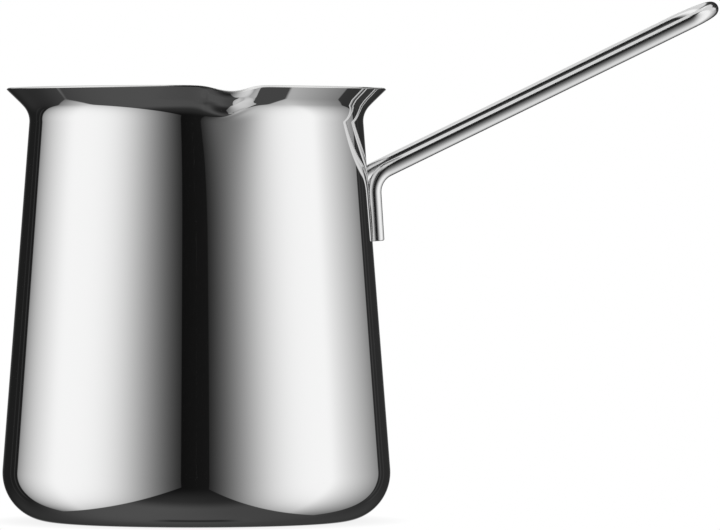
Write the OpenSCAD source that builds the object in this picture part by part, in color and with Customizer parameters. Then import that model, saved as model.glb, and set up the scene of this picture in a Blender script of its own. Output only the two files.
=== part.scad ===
// Turkish coffee pot: one drawn steel pot and one bent wire handle that is welded to its wall.
// Millimetres, +Z up. The origin is the middle of the base, where the pot stands on the table.
// The handle points along +X. The pouring lip faces -Y, a little past square to the handle.

/* [Pot] */
// Outside diameter at the widest place, just above the base
belly_d = 86; // [80:0.5:88]
// Height of the rim above the table
pot_h = 96.1; // [90:0.1:125]
// Outside diameter of the rim
rim_d = 84.1; // [82:0.1:90]
// How far the wall leans in on its way up, in degrees
wall_lean = 4.43; // [3.7:0.01:6]
// Outside radius of the rounded corner round the base
corner_r = 10.8; // [6:0.1:16]
// Thickness of the sheet that the pot is drawn from
sheet_t = 0.8; // [0.6:0.1:1.2]

/* [Lip] */
// Radius of the hollow under the lip, outside
hollow_r = 4.7; // [4:0.1:6]
// How far the sheet leans out where the hollow ends, in degrees
hollow_lean = 41.7; // [36:0.1:43]
// Radius of the gentler bend that carries on from the hollow, outside
bend_r = 22.7; // [10:0.1:26]
// How far the straight lip above it leans out, in degrees
lip_lean = 46; // [44:0.1:50]

/* [Pouring lip] */
// Angle round the pot from the handle to the middle of the pouring lip, in degrees
spout_from_handle = 92.8; // [80:0.1:100]
// How far the rim leans out at the middle of the pouring lip, in degrees
spout_lean = 73.5; // [60:0.1:78]
// Half of the width over which the rim is turned out, as an angle round the pot, in degrees
spout_half = 11.8; // [8:0.1:16]
// How far the sheet leans out where the hollow ends under the middle of the pouring lip, in degrees
throat_lean = 65.8; // [50:0.1:72]
// Half of the width over which the hollow is turned out, as an angle round the pot, in degrees
throat_half = 14.9; // [8:0.1:18]
// Depth of the pouch that is pressed out under the rim
pouch_depth = 1.5; // [0.5:0.05:1.8]
// Distance up the sheet from the foot of the hollow to the middle of the pouch
pouch_up = 4.5; // [4:0.1:5.5]
// Height of the pouch up the sheet, from its middle to where it slopes most
pouch_tall = 1.8; // [1.4:0.05:2]
// Width of the pouch round the pot, from its middle to where it slopes most, in degrees
pouch_wide = 3.95; // [3:0.05:5]

/* [Handle] */
// Diameter of the handle wire
wire_d = 3.2; // [2.5:0.1:4]
// Distance between the middles of the two wires
wire_gap = 14.2; // [12:0.1:18]
// Distance from the pot's axis to the handle's far end
handle_reach = 120.3; // [105:0.1:150]
// How steeply the handle rises, in degrees
handle_rise = 25.4; // [15:0.1:32]
// Height at which the lines of the leg and of the bar meet
elbow_h = 76.3; // [72:0.1:80]
// Bend radius at the elbow, to the middle of the wire
elbow_r = 5.6; // [4:0.1:8]
// Height of the lower ends of the two legs
leg_foot_h = 62; // [50:0.1:64]

/* [Welds] */
// How deep the wire is set down against the wall by the weld
set_down = 0.3; // [0.15:0.05:0.5]
// Radius of the weld bead round the line of contact
bead_r = 1.6; // [1.5:0.05:1.8]
// Length of the weld bead
bead_len = 9; // [7:0.5:10]

/* [Hidden] */
$fn = 96;
// Facets of the round faces that the small weld beads are cut by
fine_fn = 256;

// Number of straight steps in the base corner, in the hollow under the lip and up the lip
corner_steps = 14;
hollow_steps = 9;
lip_steps = 9;
// Number of columns of faces round the lip, and how strongly they crowd together at the spout
lip_columns = 112;
crowding = 0.62;
// How quickly the turned-out stretch dies away towards its sides
turn_power = 1.9;
// The lip's foot stands this far inside both faces of the wall, and reaches this far below the seam
foot_inset = 0.02;
foot_depth = 0.5;
// How far the seam between wall and lip lies below the hollow
seam_drop = 1.2;
// The wire swells by this much in its bends, and its straights run this far into them
bend_swell = 0.01;
bend_bite = 0.2;
// Bevel round the cut ends of the wire
end_bevel = 0.35;
// Steps along the rounded outline of a weld bead
bead_steps = 16;
// Stretch of the wall that the handle is fitted against
cone_bottom = leg_foot_h - 8;
cone_top = elbow_h + 6;

steel = [0.80, 0.80, 0.81];
wire_steel = [0.74, 0.74, 0.75];
weld_steel = [0.62, 0.60, 0.58];

// Where the round base corner meets the leaning wall
flat_r = belly_d / 2 - corner_r;
wall_foot_r = flat_r + corner_r * cos(wall_lean);
wall_foot_z = corner_r * (1 + sin(wall_lean));

// Length of the wall's slope that lets the lip end at the rim's diameter and height
hollow_run = hollow_r * (cos(wall_lean) - cos(hollow_lean));
hollow_climb = hollow_r * (sin(wall_lean) + sin(hollow_lean));
bend_run = bend_r * (cos(hollow_lean) - cos(lip_lean));
bend_climb = bend_r * (sin(lip_lean) - sin(hollow_lean));
lip_run = rim_d / 2 - wall_foot_r - hollow_run - bend_run;
lip_climb = pot_h - wall_foot_z - sheet_t * sin(lip_lean) - hollow_climb - bend_climb;
wall_len = (lip_climb - lip_run / tan(lip_lean)) / (cos(wall_lean) + sin(wall_lean) / tan(lip_lean));

// Middle of the hollow's circle, and the length of the sheet from the hollow to the rim
hollow_x = wall_foot_r - wall_len * sin(wall_lean) + hollow_r * cos(wall_lean);
hollow_z = wall_foot_z + wall_len * cos(wall_lean) + hollow_r * sin(wall_lean);
bend_len = bend_r * (lip_lean - hollow_lean) * PI / 180;
lip_len = bend_len + (lip_run + wall_len * sin(wall_lean)) / sin(lip_lean);
seam_z = hollow_z - hollow_r * sin(wall_lean) - seam_drop;

// Outside radius of the leaning wall at height z, and the thickness of its sheet measured level
function wall_r(z) = wall_foot_r - (z - wall_foot_z) * tan(wall_lean);
level_t = sheet_t / cos(wall_lean);

// Points on a circle in the profile plane, from angle a to angle b
function arc(x, z, r, a, b, steps) =
    [for (i = [0 : steps]) let (t = a + (b - a) * i / steps) [x + r * cos(t), z + r * sin(t)]];

// Share of a full turn at an angle from the middle of the pouring lip: one there, nothing at its sides
function turned_share(angle, half) =
    abs(angle) < half ? pow((1 + cos(180 * angle / half)) / 2, turn_power) : 0;

// Height of a smooth bump at t spreads from its middle
function bump(t) = exp(-t * t / 2);

// How far the sheet leans out at a share of the way from the hollow to the rim
function lip_lean_at(way, throat_turn, rim_turn) =
    hollow_lean + (lip_lean - hollow_lean) * min(way * lip_len / bend_len, 1)
    + throat_turn * (1 - way) + rim_turn * way;

// Stations up the sheet in one column: place outside, lean, and length from the foot of the hollow.
// The sheet keeps its length as it is pressed out, so a longer hollow leaves a shorter lip.
function sheet_stations(from_spout) =
    let (
        throat_turn = (throat_lean - hollow_lean) * turned_share(from_spout, throat_half),
        rim_turn = (spout_lean - lip_lean) * turned_share(from_spout, spout_half),
        hollow_end = hollow_lean + throat_turn,
        hollow_len = hollow_r * (hollow_end + wall_lean) * PI / 180,
        step = (lip_len - hollow_r * throat_turn * PI / 180) / lip_steps,
        start = [hollow_x - hollow_r * cos(hollow_end), hollow_z + hollow_r * sin(hollow_end)]
    )
    concat(
        [
            for (i = [0 : hollow_steps])
                let (lean = -wall_lean + (hollow_end + wall_lean) * i / hollow_steps)
                [
                    [hollow_x - hollow_r * cos(lean), hollow_z + hollow_r * sin(lean)],
                    lean,
                    hollow_len * i / hollow_steps
                ]
        ],
        [
            for (
                i = 1, lean = lip_lean_at(0.5 / lip_steps, throat_turn, rim_turn),
                    p = start + step * [sin(lean), cos(lean)];
                i <= lip_steps;
                i = i + 1, lean = lip_lean_at((i - 0.5) / lip_steps, throat_turn, rim_turn),
                    p = p + step * [sin(lean), cos(lean)]
            )
                [p, lip_lean_at(i / lip_steps, throat_turn, rim_turn), hollow_len + step * i]
        ]
    );

// Section through the neck and lip of one column, up outside and down inside
function lip_section(from_spout, column_half) =
    let (
        stations = sheet_stations(from_spout),
        last = len(stations) - 1,
        depth = pouch_depth * bump(from_spout / pouch_wide),
        push = [cos(lip_lean), -sin(lip_lean)],
        pressed = [for (s = stations) depth * bump((s[2] - pouch_up) / pouch_tall) * push],
        outside = [for (i = [0 : last]) stations[i][0] + pressed[i]],
        across = [for (s = stations) sheet_t * [-cos(s[1]), sin(s[1])]],
        foot_z = seam_z - foot_depth
    )
    concat(
        [[wall_r(foot_z) - foot_inset, foot_z]],
        outside,
        [for (i = [last : -1 : 0]) outside[i] + across[i]],
        [[(wall_r(foot_z) - level_t) / cos(column_half) + foot_inset, foot_z]]
    );

// Angle round the pot of each column, measured from the middle of the spout
function column_angle(i) = let (t = 360 * i / lip_columns - 180) t - crowding * sin(t) * 180 / PI;

// The pot's base, corner and wall in profile, up to the seam under the lip
module wall_profile() {
    seam_r = wall_r(seam_z);
    outside = arc(flat_r, corner_r, corner_r, -90, wall_lean, corner_steps);
    inside = arc(flat_r, corner_r, corner_r - sheet_t, wall_lean, -90, corner_steps);
    polygon(concat([[0, 0]], outside, [[seam_r, seam_z], [seam_r - level_t, seam_z]], inside, [[0, sheet_t]]));
}

// The neck, the flared lip and the pouring lip as one skin of sheet
module lip_loft() {
    widest_column = 360 / lip_columns * (1 + crowding);
    rings = len(lip_section(0, 0));
    points = [
        for (i = [0 : lip_columns - 1])
            let (from_spout = column_angle(i), round_pot = from_spout - spout_from_handle)
                for (p = lip_section(from_spout, widest_column / 2))
                    [p[0] * cos(round_pot), p[0] * sin(round_pot), p[1]]
    ];
    faces = [
        for (i = [0 : lip_columns - 1])
            for (j = [0 : rings - 1])
                let (
                    here = i * rings,
                    next = (i + 1) % lip_columns * rings,
                    up = (j + 1) % rings
                )
                each [[here + j, here + up, next + up], [here + j, next + up, next + j]]
    ];
    polyhedron(points, faces);
}

module pot_body() {
    color(steel) {
        rotate_extrude() wall_profile();
        lip_loft();
    }
}

// The pot's outside as a plain solid cone, to fit the handle against the wall
module wall_cone() {
    translate([0, 0, cone_bottom])
        cylinder(h = cone_top - cone_bottom, r1 = wall_r(cone_bottom), r2 = wall_r(cone_top), $fn = fine_fn);
}

// The middle of a leg stands this far off the wall, which sets its place along X and its lean
leg_off = wire_d / 2 - set_down;
loop_r = wire_gap / 2;
function leg_x(z) = sqrt(pow(wall_r(z) + leg_off / cos(wall_lean), 2) - pow(loop_r, 2));
leg_lean = atan((leg_x(leg_foot_h) - leg_x(elbow_h)) / (elbow_h - leg_foot_h));
leg_turn = asin(loop_r / (wall_r(elbow_h) + leg_off));

// The elbow's bend shortens both of its straight neighbours
elbow_turn = 90 + leg_lean - handle_rise;
elbow_cut = elbow_r * tan(elbow_turn / 2);
leg_len = (elbow_h - leg_foot_h) / cos(leg_lean) - elbow_cut;
loop_x = handle_reach - wire_d / 2 - loop_r * cos(handle_rise);
loop_z = elbow_h + (loop_x - leg_x(elbow_h)) * tan(handle_rise);
bar_len = (loop_x - leg_x(elbow_h)) / cos(handle_rise) - elbow_cut;

// The hairpin lies flat in its own frame, with the middle of its far loop at the origin and its bars along -X
module in_place() {
    translate([loop_x, 0, loop_z]) rotate([0, -handle_rise, 0]) children();
}

// Frame of one elbow inside the hairpin's, turning about Z from the bar to the leg
module at_elbow(side) {
    translate([-bar_len, side * loop_r, -elbow_r]) rotate([90, 0, 0]) rotate([0, 0, 90]) children();
}

// Frame of one leg inside the hairpin's: Z runs down its middle from the elbow, and X points at the pot
module at_leg(side) {
    at_elbow(side) rotate([0, 0, elbow_turn]) translate([elbow_r, 0, 0]) rotate([-90, 0, 0]) children();
}

module wire_elbow() {
    rotate_extrude(angle = elbow_turn) translate([elbow_r, 0]) circle(d = wire_d + 2 * bend_swell);
}

// A straight leg with a bevelled foot
module wire_leg() {
    translate([0, 0, -bend_bite]) cylinder(h = bend_bite + leg_len - end_bevel, d = wire_d);
    translate([0, 0, leg_len - end_bevel]) cylinder(h = end_bevel, d1 = wire_d, d2 = wire_d - 2 * end_bevel);
}

module handle_wire() {
    color(wire_steel) difference() {
        in_place() {
            rotate([0, 0, -90])
                rotate_extrude(angle = 180) translate([loop_r, 0]) circle(d = wire_d + 2 * bend_swell);
            for (side = [-1, 1]) {
                translate([bend_bite, side * loop_r, 0])
                    rotate([0, -90, 0]) cylinder(h = bar_len + 2 * bend_bite, d = wire_d);
                at_elbow(side) wire_elbow();
                at_leg(side) wire_leg();
            }
        }
        wall_cone();
    }
}

// A bead that is thick in the middle and runs out to a point at both ends
module bead() {
    rotate_extrude($fn = fine_fn) polygon([
        for (i = [0 : bead_steps]) let (t = 180 * i / bead_steps) [bead_r * sin(t), -bead_len / 2 * cos(t)]
    ]);
}

// Weld metal in the two grooves between one leg and the wall
module leg_weld(side) {
    color(weld_steel) difference() {
        in_place() at_leg(side) difference() {
            translate([leg_off * cos(leg_turn), -side * leg_off * sin(leg_turn), leg_len / 2]) bead();
            wire_leg($fn = fine_fn);
        }
        wall_cone();
    }
}

module front_leg_weld() { leg_weld(-1); }
module rear_leg_weld() { leg_weld(1); }

pot_body();
handle_wire();
front_leg_weld();
rear_leg_weld();
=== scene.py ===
import math
import bpy
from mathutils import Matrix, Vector


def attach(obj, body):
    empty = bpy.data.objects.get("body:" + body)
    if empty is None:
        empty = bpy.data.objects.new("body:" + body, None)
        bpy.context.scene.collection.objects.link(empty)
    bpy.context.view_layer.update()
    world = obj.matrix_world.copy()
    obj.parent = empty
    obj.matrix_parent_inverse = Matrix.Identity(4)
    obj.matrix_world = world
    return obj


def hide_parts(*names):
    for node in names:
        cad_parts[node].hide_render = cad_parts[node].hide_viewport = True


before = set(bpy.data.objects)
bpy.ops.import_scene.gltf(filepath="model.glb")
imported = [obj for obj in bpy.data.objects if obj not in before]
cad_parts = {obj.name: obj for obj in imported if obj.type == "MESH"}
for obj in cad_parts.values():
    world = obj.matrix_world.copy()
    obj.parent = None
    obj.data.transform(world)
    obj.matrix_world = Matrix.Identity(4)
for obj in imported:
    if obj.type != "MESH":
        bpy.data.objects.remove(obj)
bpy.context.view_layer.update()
scene = bpy.context.scene
scene.view_settings.view_transform = "Standard"
mm = 0.001
print("frame:", ", ".join(sorted(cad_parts)))

# camera: a long lens just below the height of the rim, so the lip is seen from underneath
cameraSetup = {
    "turn": 12.5,  # degrees round the pot, away from square to the handle
    "distance": 1496,  # mm from the pot's axis
    "height": 69.1,  # mm above the table
    "aimRight": 36.24,  # mm to the right of the axis: the middle of the picture
    "aimHeight": 56.69,  # mm
    "lens": 337.5,  # mm
    "sensor": 36,  # mm
}
turn = math.radians(cameraSetup["turn"])
rightward = Vector((math.cos(turn), -math.sin(turn), 0))
away = Vector((math.sin(turn), math.cos(turn), 0))
upward = Vector((0, 0, 1))
cameraData = bpy.data.cameras.new("camera")
cameraData.lens = cameraSetup["lens"]
cameraData.sensor_width = cameraSetup["sensor"]
cameraData.clip_end = 100
camera = bpy.data.objects.new("camera", cameraData)
scene.collection.objects.link(camera)
camera.location = (-away * cameraSetup["distance"] + upward * cameraSetup["height"]) * mm
aim = (rightward * cameraSetup["aimRight"] + upward * cameraSetup["aimHeight"]) * mm
camera.rotation_mode = "QUATERNION"
camera.rotation_quaternion = (aim - camera.location).to_track_quat("-Z", "Y")
scene.camera = camera
print("camera: %.0f mm away" % cameraSetup["distance"])


def hexLinear(code):
    channels = [int(code[i : i + 2], 16) / 255 for i in (1, 3, 5)]
    linear = [c / 12.92 if c <= 0.04045 else ((c + 0.055) / 1.055) ** 2.4 for c in channels]
    return (*linear, 1)


def addNode(tree, kind, inputs=None, **settings):
    node = tree.nodes.new(kind)
    for name, value in settings.items():
        setattr(node, name, value)
    for socket, value in (inputs or {}).items():
        if isinstance(value, bpy.types.Node):
            value = value.outputs[0]
        if isinstance(value, bpy.types.NodeSocket):
            tree.links.new(value, node.inputs[socket])
        else:
            node.inputs[socket].default_value = value
    return node


def newMaterial(name):
    material = bpy.data.materials.new(name)
    material.use_nodes = True
    material.node_tree.nodes.clear()
    return material, material.node_tree


def perMm(size):
    return 1 / (size * mm)  # noise scale that gives features of this many mm


# mirror-buffed stainless sheet: shows the room as a clear picture, with a faint haze from the buffing wheel
mirrorSteel = {
    "colour": "#DEDEDE",
    "haze": (0.012, 0.03),
    "hazeSize": 9,
    "ripple": 14,
    "rippleHeight": 0.0002,
}


def buffedStainless():
    material, tree = newMaterial("stainless_sheet_mirror_buffed")
    place = addNode(tree, "ShaderNodeTexCoord").outputs["Object"]
    clouds = addNode(tree, "ShaderNodeTexNoise", {
        "Vector": place, "Scale": perMm(mirrorSteel["hazeSize"]), "Detail": 3,
    })
    haze = addNode(tree, "ShaderNodeMapRange", {
        "Value": clouds, 3: mirrorSteel["haze"][0], 4: mirrorSteel["haze"][1],
    })
    ripples = addNode(tree, "ShaderNodeTexNoise", {
        "Vector": place, "Scale": perMm(mirrorSteel["ripple"]), "Detail": 1,
    })
    bump = addNode(tree, "ShaderNodeBump", {
        "Height": ripples, "Distance": mirrorSteel["rippleHeight"] * mm, "Strength": 1,
    })
    steel = addNode(tree, "ShaderNodeBsdfPrincipled", {
        "Base Color": hexLinear(mirrorSteel["colour"]),
        "Metallic": 1,
        "Roughness": haze,
        "Normal": bump,
    })
    addNode(tree, "ShaderNodeOutputMaterial", {"Surface": steel})
    return material


# inside of the pot, left satin by an abrasive wheel that ran round it: soft broad light with fine level lines
satinSteel = {"colour": "#CFCFCE", "rough": (0.26, 0.4), "lineGap": 0.5, "lineLength": 40, "lineDepth": 0.002}


def satinStainless():
    material, tree = newMaterial("stainless_sheet_satin_ground")
    place = addNode(tree, "ShaderNodeTexCoord").outputs["Object"]
    stretch = satinSteel["lineGap"] / satinSteel["lineLength"]
    along = addNode(tree, "ShaderNodeVectorMath", {
        0: place, 1: (stretch, stretch, 1),
    }, operation="MULTIPLY")
    lines = addNode(tree, "ShaderNodeTexNoise", {
        "Vector": along, "Scale": perMm(satinSteel["lineGap"]), "Detail": 4,
    })
    rough = addNode(tree, "ShaderNodeMapRange", {
        "Value": lines, 3: satinSteel["rough"][0], 4: satinSteel["rough"][1],
    })
    bump = addNode(tree, "ShaderNodeBump", {
        "Height": lines, "Distance": satinSteel["lineDepth"] * mm, "Strength": 1,
    })
    steel = addNode(tree, "ShaderNodeBsdfPrincipled", {
        "Base Color": hexLinear(satinSteel["colour"]),
        "Metallic": 1,
        "Roughness": rough,
        "Normal": bump,
    })
    addNode(tree, "ShaderNodeOutputMaterial", {"Surface": steel})
    return material


# underside, faced on a lathe: rings round the middle that catch light as spokes
turnedSteel = {"colour": "#CBCBCA", "rough": (0.16, 0.3), "ringGap": 3.77, "ringDepth": 0.003}
waveLength = math.pi / 10  # of a wave texture at a scale of 1


def turnedStainless():
    material, tree = newMaterial("stainless_sheet_lathe_turned")
    place = addNode(tree, "ShaderNodeTexCoord").outputs["Object"]
    rings = addNode(tree, "ShaderNodeTexWave", {
        "Vector": place, "Scale": perMm(turnedSteel["ringGap"]) * waveLength, "Distortion": 0.4,
    }, wave_type="RINGS", rings_direction="Z")
    rough = addNode(tree, "ShaderNodeMapRange", {
        "Value": rings, 3: turnedSteel["rough"][0], 4: turnedSteel["rough"][1],
    })
    bump = addNode(tree, "ShaderNodeBump", {
        "Height": rings, "Distance": turnedSteel["ringDepth"] * mm, "Strength": 1,
    })
    steel = addNode(tree, "ShaderNodeBsdfPrincipled", {
        "Base Color": hexLinear(turnedSteel["colour"]),
        "Metallic": 1,
        "Roughness": rough,
        "Normal": bump,
    })
    addNode(tree, "ShaderNodeOutputMaterial", {"Surface": steel})
    return material


# trimmed edge of the sheet, ground and then touched on the buffing wheel: a thin line, duller than the wall
edgeSteel = {"colour": "#D8D8D7", "rough": (0.08, 0.2), "grit": 0.35}


def groundEdge():
    material, tree = newMaterial("stainless_edge_ground")
    place = addNode(tree, "ShaderNodeTexCoord").outputs["Object"]
    grit = addNode(tree, "ShaderNodeTexNoise", {
        "Vector": place, "Scale": perMm(edgeSteel["grit"]), "Detail": 2,
    })
    rough = addNode(tree, "ShaderNodeMapRange", {
        "Value": grit, 3: edgeSteel["rough"][0], 4: edgeSteel["rough"][1],
    })
    steel = addNode(tree, "ShaderNodeBsdfPrincipled", {
        "Base Color": hexLinear(edgeSteel["colour"]),
        "Metallic": 1,
        "Roughness": rough,
    })
    addNode(tree, "ShaderNodeOutputMaterial", {"Surface": steel})
    return material


# stainless wire, drawn through a die and polished: bright, with hair-fine lines along its length
wireSteel = {
    "colour": "#DBDBDB",
    "rough": (0.1, 0.17),
    "lineGap": 0.3,
    "lineLength": 25,
    "lineDepth": 0.0004,
}


def drawnWire():
    material, tree = newMaterial("stainless_wire_drawn_polished")
    place = addNode(tree, "ShaderNodeUVMap", uv_map="alongWire")
    stretch = wireSteel["lineGap"] / wireSteel["lineLength"]
    along = addNode(tree, "ShaderNodeVectorMath", {0: place, 1: (stretch, 1, 1)}, operation="MULTIPLY")
    lines = addNode(tree, "ShaderNodeTexNoise", {
        "Vector": along, "Scale": 1 / wireSteel["lineGap"], "Detail": 3,
    })
    rough = addNode(tree, "ShaderNodeMapRange", {
        "Value": lines, 3: wireSteel["rough"][0], 4: wireSteel["rough"][1],
    })
    bump = addNode(tree, "ShaderNodeBump", {
        "Height": lines, "Distance": wireSteel["lineDepth"] * mm, "Strength": 1,
    })
    steel = addNode(tree, "ShaderNodeBsdfPrincipled", {
        "Base Color": hexLinear(wireSteel["colour"]),
        "Metallic": 1,
        "Roughness": rough,
        "Normal": bump,
    })
    addNode(tree, "ShaderNodeOutputMaterial", {"Surface": steel})
    return material


# resistance-weld metal, brushed clean: duller than the sheet, with a trace of straw colour left by the heat
weldSteel = {
    "colour": "#C4C4C3",
    "heat": "#B2AFA9",
    "rough": (0.1, 0.2),
    "ripple": 0.9,
    "rippleHeight": 0.006,
}


def cleanedWeld():
    material, tree = newMaterial("stainless_weld_brushed_clean")
    place = addNode(tree, "ShaderNodeTexCoord").outputs["Object"]
    ripple = addNode(tree, "ShaderNodeTexNoise", {
        "Vector": place, "Scale": perMm(weldSteel["ripple"]), "Detail": 2,
    })
    colour = addNode(tree, "ShaderNodeMix", {
        0: ripple, 6: hexLinear(weldSteel["colour"]), 7: hexLinear(weldSteel["heat"]),
    }, data_type="RGBA")
    rough = addNode(tree, "ShaderNodeMapRange", {
        "Value": ripple, 3: weldSteel["rough"][0], 4: weldSteel["rough"][1],
    })
    bump = addNode(tree, "ShaderNodeBump", {
        "Height": ripple, "Distance": weldSteel["rippleHeight"] * mm, "Strength": 0.5,
    })
    steel = addNode(tree, "ShaderNodeBsdfPrincipled", {
        "Base Color": colour.outputs[2],
        "Metallic": 1,
        "Roughness": rough,
        "Normal": bump,
    })
    addNode(tree, "ShaderNodeOutputMaterial", {"Surface": steel})
    return material


def meshPiece(name, points, faces, materials, faceMaterial):
    mesh = bpy.data.meshes.new(name)
    mesh.from_pydata([Vector(p) * mm for p in points], [], faces)
    for material in materials:
        mesh.materials.append(material)
    mesh.polygons.foreach_set("material_index", faceMaterial)
    mesh.polygons.foreach_set("use_smooth", [True] * len(faces))
    mesh.validate()
    piece = bpy.data.objects.new(name, mesh)
    scene.collection.objects.link(piece)
    return piece


# pot: one drawn sheet, in mm and degrees
pot = {
    "bellyWide": 85.94,  # within the facets of the CAD solid
    "high": 96.1,
    "rimWide": 84.1,
    "wallLean": 4.43,
    "cornerRadius": 10.8,
    "sheet": 0.8,
    "hollowRadius": 4.7,  # groove under the lip, outside
    "hollowLean": 41.7,  # lean where the groove passes into a gentler bend
    "bendRadius": 22.7,
    "lipLean": 46,  # out from upright
    "spoutFromHandle": 92.8,  # angle round the pot
    "spoutLean": 73.5,
    "spoutHalf": 11.8,  # half width as an angle
    "throatLean": 65.8,  # the groove turned out under the spout
    "throatHalf": 14.9,
    "turnPower": 1.9,
    "turnEase": 0.26,  # share of the turn that eases off again at the rim
    "dipOff": 0.9,  # degrees from the pouch to the middle of the dip in the rim
    "pouchDepth": 1.5,  # pressed out under the rim
    "pouchUp": 4.5,
    "pouchTall": 1.8,
    "pouchWide": 3.95,  # degrees
    "creaseDepth": 0.18,  # left by the press under the far half of the pouch
    "creaseUp": 2.2,
    "creaseTall": 0.42,
    "creaseOff": 4.9,  # degrees
    "creaseWide": 3,
    "creaseClimb": 0.23,  # mm for each degree, so it runs up to the rim
    "ridgeHeight": 0.1,  # fine line where the press began, beside the spout
    "ridgeAt": -7,  # degrees
    "ridgeWide": 0.4,
    "ridgeUp": 6.4,
    "ridgeTall": 2,
    "ridgeStop": 8.3,
    "dentDepth": 0.33,  # the wall gave a little under the press
    "dentTall": 9,
    "dentWide": 6.6,  # degrees
    "dentStop": 3.5,  # it fades out up the groove
    "dentFade": 3,
    "rimSheet": 0.55,  # thinned by the trimming and grinding
    "rimThinned": 3,  # over this much of the lip
    "edgeRound": 0.18,  # its broken edges
    "baseRings": (8, 16, 24, 30),  # radii of the flat base's rings of faces
    "flatMargin": 0.4,
    "cornerSteps": 44,
    "innerSteps": 32,
    "hollowSteps": 26,
    "lipSteps": 28,
    "edgeSteps": 5,
    "columns": 384,
    "crowding": 0.68,  # columns stand closer at the spout
}


def sinD(angle):
    return math.sin(math.radians(angle))


def cosD(angle):
    return math.cos(math.radians(angle))


def spread(start, end, steps):
    return [start + (end - start) * i / steps for i in range(steps + 1)]


def arcPoints(centre, radius, start, end, steps):
    return [(centre[0] + radius * cosD(a), centre[1] + radius * sinD(a)) for a in spread(start, end, steps)]


flatRadius = pot["bellyWide"] / 2 - pot["cornerRadius"]
wallFoot = (
    flatRadius + pot["cornerRadius"] * cosD(pot["wallLean"]),
    pot["cornerRadius"] * (1 + sinD(pot["wallLean"])),
)
lean, hollowLean, lipLean = pot["wallLean"], pot["hollowLean"], pot["lipLean"]
hollow, bend, sheet = pot["hollowRadius"], pot["bendRadius"], pot["sheet"]
lipRun = (
    pot["rimWide"] / 2 - wallFoot[0]
    - hollow * (cosD(lean) - cosD(hollowLean)) - bend * (cosD(hollowLean) - cosD(lipLean))
)
lipClimb = (
    pot["high"] - wallFoot[1] - sheet * sinD(lipLean)
    - hollow * (sinD(lean) + sinD(hollowLean)) - bend * (sinD(lipLean) - sinD(hollowLean))
)
lipSlope = cosD(lipLean) / sinD(lipLean)
wallLength = (lipClimb - lipRun * lipSlope) / (cosD(lean) + sinD(lean) * lipSlope)
wallTop = (wallFoot[0] - wallLength * sinD(lean), wallFoot[1] + wallLength * cosD(lean))
hollowCentre = (wallTop[0] + hollow * cosD(lean), wallTop[1] + hollow * sinD(lean))
bendLength = bend * math.radians(lipLean - hollowLean)
lipLength = bendLength + (lipRun + wallLength * sinD(lean)) / sinD(lipLean)


def wallRadius(z):
    return wallFoot[0] - (z - wallFoot[1]) * sinD(lean) / cosD(lean)


def turnedShare(angle, half):
    return ((1 + cosD(180 * angle / half)) / 2) ** pot["turnPower"] if abs(angle) < half else 0


def bump(t):
    return math.exp(-t * t / 2)


def clamp(t):
    return min(max(t, 0), 1)


def lipLeanAt(way, throatTurn, rimTurn):
    plain = hollowLean + (lipLean - hollowLean) * min(way * lipLength / bendLength, 1)
    return plain + throatTurn * (1 - way) + rimTurn * (way - pot["turnEase"] * way * way)


# rows of faces up the wall, closer where the spout's dent reaches down
wallShares = [0.006, 0.03] + spread(0.1, 0.7, 6) + spread(0.725, 0.975, 10) + [0.99, 0.996]


def sheetStations(fromSpout):
    # place outside, lean and length from the foot of the groove, from the wall's foot to the rim
    throatTurn = (pot["throatLean"] - hollowLean) * turnedShare(fromSpout, pot["throatHalf"])
    rimTurn = (pot["spoutLean"] - lipLean) * turnedShare(fromSpout - pot["dipOff"], pot["spoutHalf"])
    hollowEnd = hollowLean + throatTurn
    hollowLength = hollow * math.radians(hollowEnd + lean)
    stations = []
    for share in wallShares:
        r = wallFoot[0] - wallLength * sinD(lean) * share
        z = wallFoot[1] + wallLength * cosD(lean) * share
        stations.append((r, z, -lean, wallLength * (share - 1)))
    for share in spread(0, 1, pot["hollowSteps"]):
        angle = -lean + (hollowEnd + lean) * share
        r = hollowCentre[0] - hollow * cosD(angle)
        z = hollowCentre[1] + hollow * sinD(angle)
        stations.append((r, z, angle, hollowLength * share))
    steps = pot["lipSteps"]
    step = (lipLength - hollow * math.radians(throatTurn)) / steps
    for i in range(steps):
        angle = lipLeanAt((i + 0.5) / steps, throatTurn, rimTurn)
        r += step * sinD(angle)
        z += step * cosD(angle)
        angle = lipLeanAt((i + 1) / steps, throatTurn, rimTurn)
        stations.append((r, z, angle, hollowLength + step * (i + 1)))
    return stations


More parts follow.
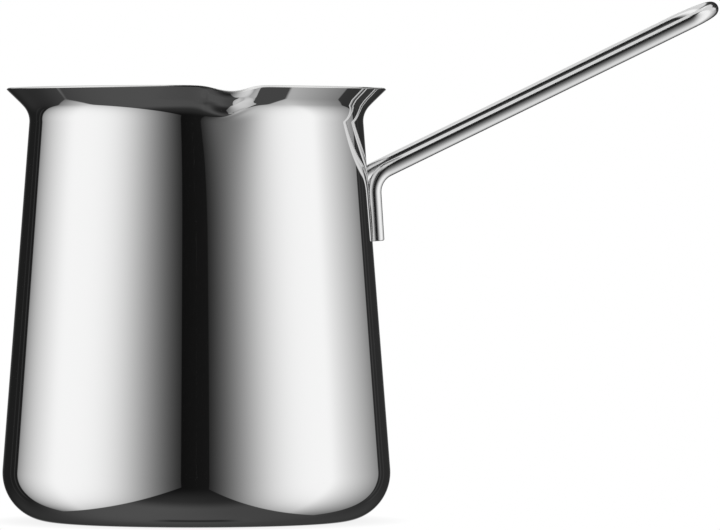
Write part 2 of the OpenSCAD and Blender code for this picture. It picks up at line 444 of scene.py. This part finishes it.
def potSection(fromSpout):
    # up the outside from the middle of the base, over the rim and down the inside
    pouch = pot["pouchDepth"] * bump(fromSpout / pot["pouchWide"])
    dent = pot["dentDepth"] * bump(fromSpout / pot["dentWide"])
    crease = pot["creaseDepth"] * bump((fromSpout - pot["creaseOff"]) / pot["creaseWide"])
    ridge = pot["ridgeHeight"] * bump((fromSpout - pot["ridgeAt"]) / pot["ridgeWide"])
    outer = []
    inner = []
    stations = sheetStations(fromSpout)
    rimUp = stations[-1][3]
    creaseUp = pot["creaseUp"] + pot["creaseClimb"] * (fromSpout - pot["creaseOff"])
    for r, z, angle, up in stations:
        push = pouch * bump((up - pot["pouchUp"]) / pot["pouchTall"])
        push -= crease * bump((up - creaseUp) / pot["creaseTall"])
        push += ridge * bump((up - pot["ridgeUp"]) / pot["ridgeTall"]) * clamp(pot["ridgeStop"] - up)
        fade = clamp((pot["dentStop"] - up) / pot["dentFade"])
        give = dent * math.exp(min(up, 0) / pot["dentTall"]) * fade * fade * (3 - 2 * fade)
        r += push * cosD(lipLean) - give
        z -= push * sinD(lipLean)
        outer.append((r, z))
        thinned = clamp((up - rimUp + pot["rimThinned"]) / pot["rimThinned"])
        thick = sheet + (pot["rimSheet"] - sheet) * thinned
        inner.append((r - thick * cosD(angle), z + thick * sinD(angle)))
    edge = pot["edgeRound"]
    rim, tip = outer.pop(), angle
    inner.pop()

    def offRim(along, across):
        return (
            rim[0] + along * sinD(tip) - across * cosD(tip),
            rim[1] + along * cosD(tip) + across * sinD(tip),
        )

    radii = [*pot["baseRings"], flatRadius - pot["flatMargin"]]
    corner = (flatRadius, pot["cornerRadius"])
    stretches = [
        ("underside", [(r, 0) for r in radii]),
        ("outside", arcPoints(corner, pot["cornerRadius"], -90, lean, pot["cornerSteps"])),
        ("outside", outer + [offRim(-edge, 0)]),
        ("edge", arcPoints(offRim(-edge, edge), edge, -tip, 90 - tip, pot["edgeSteps"])[1:]),
        ("edge", arcPoints(offRim(-edge, thick - edge), edge, 90 - tip, 180 - tip, pot["edgeSteps"])),
        ("inside", list(reversed(inner))),
        ("inside", arcPoints(corner, pot["cornerRadius"] - sheet, lean, -90, pot["innerSteps"])),
        ("inside", [(r, sheet) for r in reversed(radii)]),
    ]
    return [(r, z, zone) for zone, points in stretches for r, z in points]


def makePot():
    zones = ["outside", "inside", "edge", "underside"]
    materials = [buffedStainless(), satinStainless(), groundEdge(), turnedStainless()]
    points = [(0, 0, 0), (0, 0, sheet)]
    columns = []
    for i in range(pot["columns"]):
        even = 360 * i / pot["columns"] - 180
        fromSpout = even - math.degrees(pot["crowding"] * sinD(even))
        roundPot = fromSpout - pot["spoutFromHandle"]
        section = potSection(fromSpout)
        columns.append(range(len(points), len(points) + len(section)))
        points += [(r * cosD(roundPot), r * sinD(roundPot), z) for r, z, zone in section]
    faces = []
    faceMaterial = []
    for i, here in enumerate(columns):
        there = columns[(i + 1) % len(columns)]
        faces.append((0, there[0], here[0]))
        faceMaterial.append(zones.index("underside"))
        for j in range(len(section) - 1):
            faces.append((here[j], there[j], there[j + 1], here[j + 1]))
            faceMaterial.append(zones.index(section[j + 1][2]))
        faces.append((1, here[-1], there[-1]))
        faceMaterial.append(zones.index("inside"))
    piece = meshPiece("pot_body_skin", points, faces, materials, faceMaterial)
    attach(piece, "root")
    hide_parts("pot_body")
    print("pot: %d faces" % len(faces))


makePot()

# handle: one wire bent into a hairpin, in mm and degrees
handle = {
    "wire": 3.2,
    "gap": 14.2,  # between the middles of the two wires
    "reach": 120.3,  # from the pot's axis to the far end
    "rise": 25.39,
    "elbowHigh": 76.3,
    "elbowRadius": 5.6,
    "footHigh": 62,
    "setDown": 0.3,  # flattened against the wall by the weld
    "footSetDown": 0.5,  # a little more at the cut end
    "endRound": 0.35,
    "endAngles": (0, 22, 45, 68, 90),  # rings round a rounded end
    "legSteps": 10,
    "elbowSteps": 18,
    "barSteps": 12,
    "loopSteps": 40,
    "sides": 48,
}
wireRadius = handle["wire"] / 2
loopRadius = handle["gap"] / 2


def legX(z):
    share = (handle["elbowHigh"] - z) / (handle["elbowHigh"] - handle["footHigh"])
    setDown = handle["setDown"] + (handle["footSetDown"] - handle["setDown"]) * share
    offWall = (wireRadius - setDown) / cosD(lean)
    return math.sqrt((wallRadius(z) + offWall) ** 2 - loopRadius**2)


def wayAt(angle):
    return Vector((cosD(angle), 0, sinD(angle)))


def squareAt(angle):
    return Vector((-sinD(angle), 0, cosD(angle)))


def wirePath():
    # place, direction and a square-on direction for each ring, from the front leg's foot to the rear leg's
    rise = handle["rise"]
    foot = Vector((legX(handle["footHigh"]), 0, handle["footHigh"]))
    corner = Vector((legX(handle["elbowHigh"]), 0, handle["elbowHigh"]))
    legTurn = 90 + math.degrees(math.atan2(foot.x - corner.x, corner.z - foot.z))
    cut = handle["elbowRadius"] * math.tan(math.radians((legTurn - rise) / 2))
    legWay = wayAt(legTurn)
    barWay = wayAt(rise)
    bendCentre = corner - legWay * cut - squareAt(legTurn) * handle["elbowRadius"]
    loopX = handle["reach"] - wireRadius - loopRadius * cosD(rise)
    loopCentre = corner + barWay * ((loopX - corner.x) / cosD(rise))
    half = [(foot.lerp(corner - legWay * cut, s), legTurn) for s in spread(0, 0.97, handle["legSteps"])]
    for angle in spread(legTurn, rise, handle["elbowSteps"]):
        half.append((bendCentre + squareAt(angle) * handle["elbowRadius"], angle))
    barStart = corner + barWay * cut
    half += [(barStart.lerp(loopCentre, s), rise) for s in spread(0.01, 0.99, handle["barSteps"])]
    sideStep = Vector((0, loopRadius, 0))
    rings = [(place - sideStep, wayAt(angle), squareAt(angle)) for place, angle in half]
    for t in spread(0, 180, handle["loopSteps"]):
        place = loopCentre + (barWay * sinD(t) - Vector((0, cosD(t), 0))) * loopRadius
        rings.append((place, barWay * cosD(t) + Vector((0, sinD(t), 0)), squareAt(rise)))
    rings += [(place + sideStep, -wayAt(angle), squareAt(angle)) for place, angle in reversed(half)]
    return rings


def clearOfWall(point):
    # the weld set the wire down against the wall, so the wire is flat there
    radius = math.hypot(point.x, point.y)
    least = wallRadius(point.z)
    if radius >= least:
        return point
    return Vector((point.x * least / radius, point.y * least / radius, point.z))


def roundedEnd(place, way, square, inward, angles):
    endRound = handle["endRound"]
    rings = []
    for angle in angles:
        radius = wireRadius - endRound * (1 - sinD(angle))
        rings.append((place + inward * endRound * (1 - cosD(angle)), way, square, radius))
    return rings


def makeHandle():
    path = wirePath()
    rings = roundedEnd(*path[0], path[0][1], handle["endAngles"])
    rings += [(place, way, square, wireRadius) for place, way, square in path[1:-1]]
    rings += roundedEnd(*path[-1], -path[-1][1], reversed(handle["endAngles"]))
    sides = handle["sides"]
    points = []
    lengths = [0]
    for i, (place, way, square, radius) in enumerate(rings):
        across = way.cross(square)
        if i:
            lengths.append(lengths[-1] + (place - rings[i - 1][0]).length)
        for k in range(sides):
            angle = 360 * k / sides
            points.append(clearOfWall(place + (square * cosD(angle) + across * sinD(angle)) * radius))
    faces = []
    for i in range(len(rings) - 1):
        for k in range(sides):
            a, b = i * sides + k, i * sides + (k + 1) % sides
            faces.append((a, b, b + sides, a + sides))
    lastRing = (len(rings) - 1) * sides
    faces.append(tuple(reversed(range(sides))))
    faces.append(tuple(range(lastRing, lastRing + sides)))
    piece = meshPiece("handle_wire_bent", points, faces, [drawnWire()], [0] * len(faces))
    layer = piece.data.uv_layers.new(name="alongWire")
    girth = 2 * math.pi * wireRadius
    for face in piece.data.polygons:
        wraps = {piece.data.loops[i].vertex_index % sides for i in face.loop_indices} >= {0, sides - 1}
        for i in face.loop_indices:
            ring, k = divmod(piece.data.loops[i].vertex_index, sides)
            k = sides if wraps and k == 0 else k
            layer.data[i].uv = (lengths[ring], girth * k / sides)
    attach(piece, "root")
    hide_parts("handle_wire")
    print("handle: %.0f mm of wire" % lengths[-1])


makeHandle()

# welds: thin fillets in the two grooves beside each leg, in mm
fillet = {
    "low": 62.6,
    "high": 70.4,
    "onWall": 1.4,
    "onWire": 1.35,
    "least": 0.02,  # what is left of its width at the ends, squared
    "bite": 0.05,  # into the groove
    "rows": 14,
    "curveSteps": 4,
}


def makeWeld(name, node, side, material):
    points = []
    faces = []
    ring = fillet["curveSteps"] + 2
    for groove in (-1, 1):
        first = len(points)
        for z in spread(fillet["low"], fillet["high"], fillet["rows"]):
            share = (z - fillet["low"]) / (fillet["high"] - fillet["low"])
            full = math.sqrt(max(1 - (2 * share - 1) ** 4, fillet["least"]))  # runs out at both ends
            middle = Vector((legX(z), side * loopRadius, z))
            out = Vector((middle.x, middle.y, 0)).normalized()
            along = Vector((-out.y, out.x, 0)) * groove
            touch = math.sqrt(wireRadius**2 - (wireRadius - handle["setDown"]) ** 2)
            wall = out * wallRadius(z) + upward * z
            corner = wall + along * touch
            foot = wall + along * (touch + (fillet["onWall"] - touch) * full)
            wide = touch + (fillet["onWire"] - touch) * full
            head = middle + along * wide - out * math.sqrt(wireRadius**2 - wide**2)
            for t in spread(0, 1, fillet["curveSteps"]):
                points.append(foot * (1 - t) ** 2 + corner * 2 * t * (1 - t) + head * t**2)
            points.append(corner - out * fillet["bite"])
        for i in range(fillet["rows"]):
            for k in range(ring):
                a, b = first + i * ring + k, first + i * ring + (k + 1) % ring
                faces.append((a, b, b + ring, a + ring) if groove > 0 else (a, a + ring, b + ring, b))
        last = first + fillet["rows"] * ring
        lowCap, highCap = range(first, first + ring), range(last, last + ring)
        faces.append(tuple(lowCap if groove < 0 else reversed(lowCap)))
        faces.append(tuple(highCap if groove > 0 else reversed(highCap)))
    piece = meshPiece(name, points, faces, [material], [0] * len(faces))
    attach(piece, "root")
    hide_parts(node)


weldMetal = cleanedWeld()
makeWeld("front_leg_fillets", "front_leg_weld", -1, weldMetal)
makeWeld("rear_leg_fillets", "rear_leg_weld", 1, weldMetal)
print("welds: 2")

# floor: pale paper, white to the camera, with a soft painted shade where the pot stands on it, darkened by
# ambient occlusion in its glow colour
floorPaper = {"size": 6000, "below": 0.02, "shadeReach": 8, "shade": "#F0F0F0"}


def makeFloor():
    material, tree = newMaterial("paper_matt_white")
    # painted shade: near the pot, ambient occlusion darkens the glow colour
    near = addNode(tree, "ShaderNodeAmbientOcclusion", {
        "Distance": floorPaper["shadeReach"] * mm,
    }, samples=16)
    tone = addNode(tree, "ShaderNodeMix", {
        0: near.outputs["AO"], 6: hexLinear(floorPaper["shade"]), 7: (1, 1, 1, 1),
    }, data_type="RGBA")
    glow = addNode(tree, "ShaderNodeEmission", {"Color": tone.outputs[2], "Strength": 1})
    addNode(tree, "ShaderNodeOutputMaterial", {"Surface": glow})
    far = floorPaper["size"] / 2
    low = -floorPaper["below"]
    points = [(-far, -far, low), (far, -far, low), (far, far, low), (-far, far, low)]
    floor = meshPiece("floor", points, [(0, 1, 2, 3)], [material], [0])
    floor.visible_glossy = False  # the metal shows the dark room under the stand instead
    floor.visible_diffuse = False


makeFloor()
print("floor: done")

# studio: two tall white sheets beside the pot, a dark slot for the lens between them, a dark room behind
studio = {
    "strength": 1.383,  # what the steel shows comes out at the written brightness
    "peak": 0.9,
    "glowPower": 1.6,
    "glowTail": 0.61,
    "sag": 0.55,  # how much faster the light falls off downwards
    "rearLeft": (0.752, 0.95),  # the left sheet dims evenly to the rear: slope, and level beside the pot
    "rearRight": (1.25, 0.86),  # the right one faster at first: rate and level
    "rearBlend": 0.1,
    "slotOver": 0.15,  # the slot widens overhead
    "slotSoft": (-0.004, 0.008),  # blur of each edge
    "footTurn": 85,  # degrees
    "footSoft": (-0.01, 0.03),
    "endSoft": (-0.02, 0.03),
    "roomBlend": (-0.3, 0.3),  # from the left half of the room to the right
    "roomLow": (0.35, 0.95),  # how far down the light from below comes in
    "lensNear": (0.2, 0.6),
    "lensShade": 0.4,  # the room is darker round the lens
    "shadeAt": 0.47,  # shade of the pot on the stand
    "shadeDeep": 0.13,
    "shadeDark": 0.7,
    "shadeWide": (0.07, 0.16),
    "farBack": (0.66, 0.92),  # paler stand far behind
    "farLow": (0.12, 0.4),
    "farLight": 0.015,
    "frameFoot": (-0.45, -0.3),
    "frameHalf": 0.05,
    "backWide": 0.06,  # strip of white backdrop straight behind
    "backPower": 2.5,
    "backLow": 0.09,
    "topFar": (0.05, 0.15),  # light over the backdrop
    "topHigh": (0.12, 0.3),
    "topLight": 0.64,
    "softTone": "#EFEFEF",  # what matt surfaces would get
    "softStrength": 0.8,
    "sheets": {  # left and right sheet
        "reach": (1.01, 1.08),  # how far along a sheet its light holds, in sheet distances
        "slot": (0.158, 0.128),  # edge beside the lens
        "foot": (1.52, 2.15),  # how far down a sheet hangs
        "rearEnd": (0.942, 1.107),
        "rearSlant": (0.17, 0.18),  # the rear edges lean back towards the foot
        "slantFrom": (0.5, 0.25),
        "room": (0.011, 0.021),
        "roomBelow": (0.062, 0.034),
        "lineNear": (0.907, 0.781),  # upright frames that stand in the dark room
        "lineNearLight": (0.02, 0.021),
        "lineFar": (0.7, 0.625),
        "lineFarLight": (0.009, 0.012),
    },
}


def span(name):
    return {1: studio[name][0], 2: studio[name][1]}  # limits of a blend


def makeStudio():
    world = bpy.data.worlds.new("studio")
    scene.world = world
    world.use_nodes = True
    tree = world.node_tree
    tree.nodes.clear()
    calc = "ShaderNodeMath"
    ramp = "ShaderNodeMapRange"
    smooth = {"interpolation_type": "SMOOTHSTEP"}
    way = addNode(tree, "ShaderNodeTexCoord").outputs["Generated"]
    turned = addNode(tree, "ShaderNodeVectorRotate", {"Vector": way, "Angle": turn}, rotation_type="Z_AXIS")
    x, y, z = addNode(tree, "ShaderNodeSeparateXYZ", {0: turned}).outputs
    right = addNode(tree, calc, {0: x, 1: 0}, operation="GREATER_THAN")
    sheets = {}
    between = addNode(tree, ramp, {0: x, **span("roomBlend")}, **smooth)
    for name, (atLeft, atRight) in studio["sheets"].items():
        share = between if name.startswith("room") else right
        sheets[name] = addNode(tree, calc, {
            0: share, 1: atRight - atLeft, 2: atLeft,
        }, operation="MULTIPLY_ADD")
    side = addNode(tree, calc, {0: x}, operation="ABSOLUTE")
    front = addNode(tree, calc, {0: y, 1: -1}, operation="MULTIPLY")
    down = addNode(tree, calc, {0: z, 1: -1}, operation="MULTIPLY")
    along = addNode(tree, calc, {0: front, 1: side}, operation="DIVIDE")
    height = addNode(tree, calc, {0: z, 1: side}, operation="DIVIDE")
    # light on the sheets: brightest beside the pot, fading towards the lens and downwards
    nearLens = addNode(tree, calc, {0: along, 1: 0}, operation="MAXIMUM")
    below = addNode(tree, calc, {0: height, 1: 0}, operation="MINIMUM")
    belowSquare = addNode(tree, calc, {0: below, 1: below}, operation="MULTIPLY")
    nearSquare = addNode(tree, calc, {0: nearLens, 1: nearLens}, operation="MULTIPLY")
    spot = addNode(tree, calc, {0: belowSquare, 1: studio["sag"], 2: nearSquare}, operation="MULTIPLY_ADD")
    reachSquare = addNode(tree, calc, {0: sheets["reach"], 1: 2}, operation="POWER")
    spotShare = addNode(tree, calc, {0: spot, 1: reachSquare}, operation="DIVIDE")
    spotFade = addNode(tree, calc, {0: spotShare, 1: studio["glowPower"]}, operation="POWER")
    spotDown = addNode(tree, calc, {0: spotFade, 1: 1}, operation="ADD")
    spotLeft = addNode(tree, calc, {0: spotDown, 1: -studio["glowTail"]}, operation="POWER")
    glow = addNode(tree, calc, {0: spotLeft, 1: studio["peak"]}, operation="MULTIPLY")
    # and fading towards the rear edge, evenly on the left and faster at first on the right
    rearLeft = addNode(tree, calc, {
        0: along, 1: studio["rearLeft"][0], 2: studio["rearLeft"][1],
    }, operation="MULTIPLY_ADD")
    rearSteep = addNode(tree, calc, {0: along, 1: studio["rearRight"][0]}, operation="MULTIPLY")
    rearCurve = addNode(tree, calc, {0: rearSteep}, operation="EXPONENT")
    rearRight = addNode(tree, calc, {0: rearCurve, 1: studio["rearRight"][1]}, operation="MULTIPLY")
    rear = addNode(tree, "ShaderNodeMix", {0: right, 2: rearLeft, 3: rearRight}, data_type="FLOAT")
    dimmer = addNode(tree, calc, {0: glow, 1: rear, 2: studio["rearBlend"]}, operation="SMOOTH_MIN")
    sheetLight = addNode(tree, calc, {0: dimmer, 1: 0}, operation="MAXIMUM")
    # edges of the sheets
    slotNear = addNode(tree, calc, {0: front, 1: sheets["slot"]}, operation="MULTIPLY")
    slotOver = addNode(tree, calc, {0: z, 1: studio["slotOver"]}, operation="MULTIPLY")
    slot = addNode(tree, calc, {0: slotNear, 1: slotOver}, operation="MAXIMUM")
    pastSlot = addNode(tree, calc, {0: side, 1: slot}, operation="SUBTRACT")
    slotMask = addNode(tree, ramp, {0: pastSlot, **span("slotSoft")}, **smooth)
    footFront = addNode(tree, calc, {0: front, 1: cosD(studio["footTurn"])}, operation="MULTIPLY")
    footSide = addNode(tree, calc, {
        0: side, 1: sinD(studio["footTurn"]), 2: footFront,
    }, operation="MULTIPLY_ADD")
    overFoot = addNode(tree, calc, {0: sheets["foot"], 1: footSide, 2: z}, operation="MULTIPLY_ADD")
    footMask = addNode(tree, ramp, {0: overFoot, **span("footSoft")}, **smooth)
    lowFrom = addNode(tree, calc, {0: height, 1: sheets["slantFrom"]}, operation="ADD")
    lowPart = addNode(tree, calc, {0: lowFrom, 1: 0}, operation="MINIMUM")
    slantLine = addNode(tree, calc, {0: lowPart, 1: sheets["rearSlant"]}, operation="MULTIPLY")
    rearLine = addNode(tree, calc, {0: sheets["rearEnd"], 1: slantLine}, operation="SUBTRACT")
    beforeEnd = addNode(tree, calc, {0: along, 1: rearLine}, operation="ADD")
    endMask = addNode(tree, ramp, {0: beforeEnd, **span("endSoft")}, **smooth)
    lit = addNode(tree, calc, {0: sheetLight, 1: slotMask}, operation="MULTIPLY")
    litFoot = addNode(tree, calc, {0: lit, 1: footMask}, operation="MULTIPLY")
    litEnd = addNode(tree, calc, {0: litFoot, 1: endMask}, operation="MULTIPLY")
    # dark room: a little light comes up from below
    lowShare = addNode(tree, ramp, {0: down, **span("roomLow")}, **smooth)
    roomLight = addNode(tree, calc, {
        0: lowShare, 1: sheets["roomBelow"], 2: sheets["room"],
    }, operation="MULTIPLY_ADD")
    lensShade = addNode(tree, ramp, {0: front, **span("lensNear"), 3: 1, 4: studio["lensShade"]}, **smooth)
    roomFront = addNode(tree, calc, {0: roomLight, 1: lensShade}, operation="MULTIPLY")
    # shade of the pot on the stand
    offShade = addNode(tree, calc, {0: y, 1: studio["shadeAt"]}, operation="SUBTRACT")
    offShadeSize = addNode(tree, calc, {0: offShade}, operation="ABSOLUTE")
    shadeBand = addNode(tree, ramp, {
        0: offShadeSize, 1: 0, 2: studio["shadeDeep"], 3: studio["shadeDark"], 4: 0,
    }, **smooth)
    shadeWide = addNode(tree, ramp, {0: side, **span("shadeWide"), 3: 1, 4: 0}, **smooth)
    shadeAll = addNode(tree, calc, {0: shadeBand, 1: shadeWide}, operation="MULTIPLY")
    shadeLeft = addNode(tree, calc, {0: 1, 1: shadeAll}, operation="SUBTRACT")
    roomShade = addNode(tree, calc, {0: roomFront, 1: shadeLeft}, operation="MULTIPLY")
    farBack = addNode(tree, ramp, {0: y, **span("farBack"), 4: studio["farLight"]}, **smooth)
    farLow = addNode(tree, ramp, {0: down, **span("farLow")}, **smooth)
    room = addNode(tree, calc, {0: farBack, 1: farLow, 2: roomShade}, operation="MULTIPLY_ADD")
    behind = addNode(tree, calc, {0: y, 1: 0.0001}, operation="MAXIMUM")
    sideways = addNode(tree, calc, {0: side, 1: behind}, operation="DIVIDE")
    overFloor = addNode(tree, ramp, {0: z, **span("frameFoot")}, **smooth)
    for line in ("lineNear", "lineFar"):
        off = addNode(tree, calc, {0: sideways, 1: sheets[line]}, operation="SUBTRACT")
        offSize = addNode(tree, calc, {0: off}, operation="ABSOLUTE")
        frameLight = addNode(tree, ramp, {
            0: offSize, 1: 0, 2: studio["frameHalf"], 3: sheets[line + "Light"], 4: 0,
        }, **smooth)
        room = addNode(tree, calc, {0: frameLight, 1: overFloor, 2: room}, operation="MULTIPLY_ADD")
    # white backdrop straight behind the pot, and the light over it
    backShare = addNode(tree, calc, {0: sideways, 1: studio["backWide"]}, operation="DIVIDE")
    backCurve = addNode(tree, calc, {0: backShare, 1: studio["backPower"]}, operation="POWER")
    backDown = addNode(tree, calc, {0: backCurve, 1: 1}, operation="ADD")
    lowOnly = addNode(tree, calc, {0: down, 1: 0}, operation="MAXIMUM")
    lowShown = addNode(tree, calc, {0: lowOnly, 1: studio["backLow"]}, operation="DIVIDE")
    lowCurve = addNode(tree, calc, {0: lowShown, 1: lowShown, 2: 1}, operation="MULTIPLY_ADD")
    backAll = addNode(tree, calc, {0: backDown, 1: lowCurve}, operation="MULTIPLY")
    backdrop = addNode(tree, calc, {0: 1, 1: backAll}, operation="DIVIDE")
    topFar = addNode(tree, ramp, {0: y, **span("topFar"), 4: studio["topLight"]}, **smooth)
    topHigh = addNode(tree, ramp, {0: z, **span("topHigh")}, **smooth)
    topLight = addNode(tree, calc, {0: topFar, 1: topHigh}, operation="MULTIPLY")
    shown = litEnd
    for part in (room, backdrop, topLight):
        shown = addNode(tree, calc, {0: shown, 1: part}, operation="MAXIMUM")
    inSteel = addNode(tree, "ShaderNodeBackground", {"Color": shown, "Strength": studio["strength"]})
    white = addNode(tree, "ShaderNodeBackground", {"Color": (1, 1, 1, 1), "Strength": 1})
    soft = addNode(tree, "ShaderNodeBackground", {
        "Color": hexLinear(studio["softTone"]), "Strength": studio["softStrength"],
    })
    rays = addNode(tree, "ShaderNodeLightPath").outputs
    mirrored = addNode(tree, calc, {
        0: rays["Is Glossy Ray"], 1: rays["Is Transmission Ray"],
    }, operation="MAXIMUM")
    unseen = addNode(tree, "ShaderNodeMixShader", {0: mirrored, 1: soft, 2: inSteel})
    choice = addNode(tree, "ShaderNodeMixShader", {0: rays["Is Camera Ray"], 1: unseen, 2: white})
    addNode(tree, "ShaderNodeOutputWorld", {"Surface": choice})


makeStudio()

# dark flag behind the far end of the handle, which draws its outline in the steel: black felt whose dim light
# is a painted glow, seen only in reflections; corners right, away, up in mm
endFlag = {
    "corners": [(98, 172, 118), (216, 115, 118), (201, 82, 207), (112, 135, 190)],
    "tone": "#303030",
}


def makeFlag():
    material, tree = newMaterial("black_felt_painted_glow")
    # painted light: the felt glows dim grey instead of being lit by the studio
    dark = addNode(tree, "ShaderNodeEmission", {"Color": hexLinear(endFlag["tone"]), "Strength": 1})
    addNode(tree, "ShaderNodeOutputMaterial", {"Surface": dark})
    corners = [rightward * r + away * a + upward * u for r, a, u in endFlag["corners"]]
    flag = meshPiece("end_flag", corners, [(0, 1, 2, 3)], [material], [0])
    flag.visible_camera = False
    flag.visible_diffuse = False
    flag.visible_shadow = False


makeFlag()
print("studio: done")
